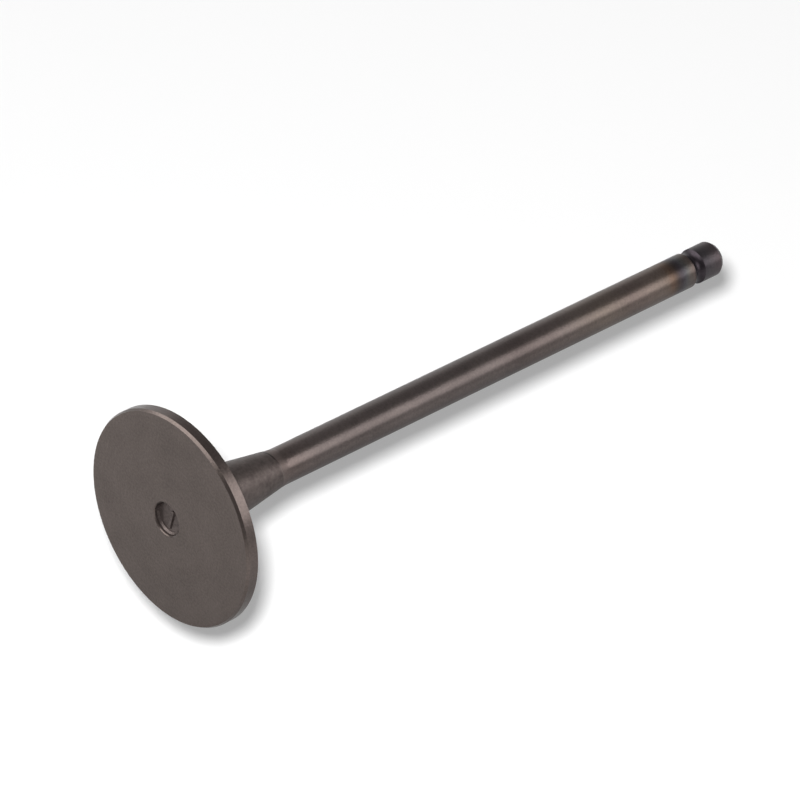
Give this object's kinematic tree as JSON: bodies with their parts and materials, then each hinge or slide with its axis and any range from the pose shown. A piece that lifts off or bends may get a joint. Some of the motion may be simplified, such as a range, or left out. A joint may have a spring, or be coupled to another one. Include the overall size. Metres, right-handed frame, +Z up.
{
  "type": "engine valve",
  "caption": "Poppet valve for a piston engine: flat round head with a conical seat, tulip neck, long ground stem and a keeper groove near the tip.",
  "frame": {"origin": "centre of the flat head face, on which the valve stands", "axes": "+Z up the stem from the head face to the tip; +Y along the rib in the head face's recess"},
  "size_m": [0.0324, 0.0324, 0.1097],
  "materials": {
    "steel": "satin, dark brown grey, salt bath hardened, tinted near the tip"
  },
  "bodies": {
    "root": {"valve": "steel"}
  },
  "joints": []
}
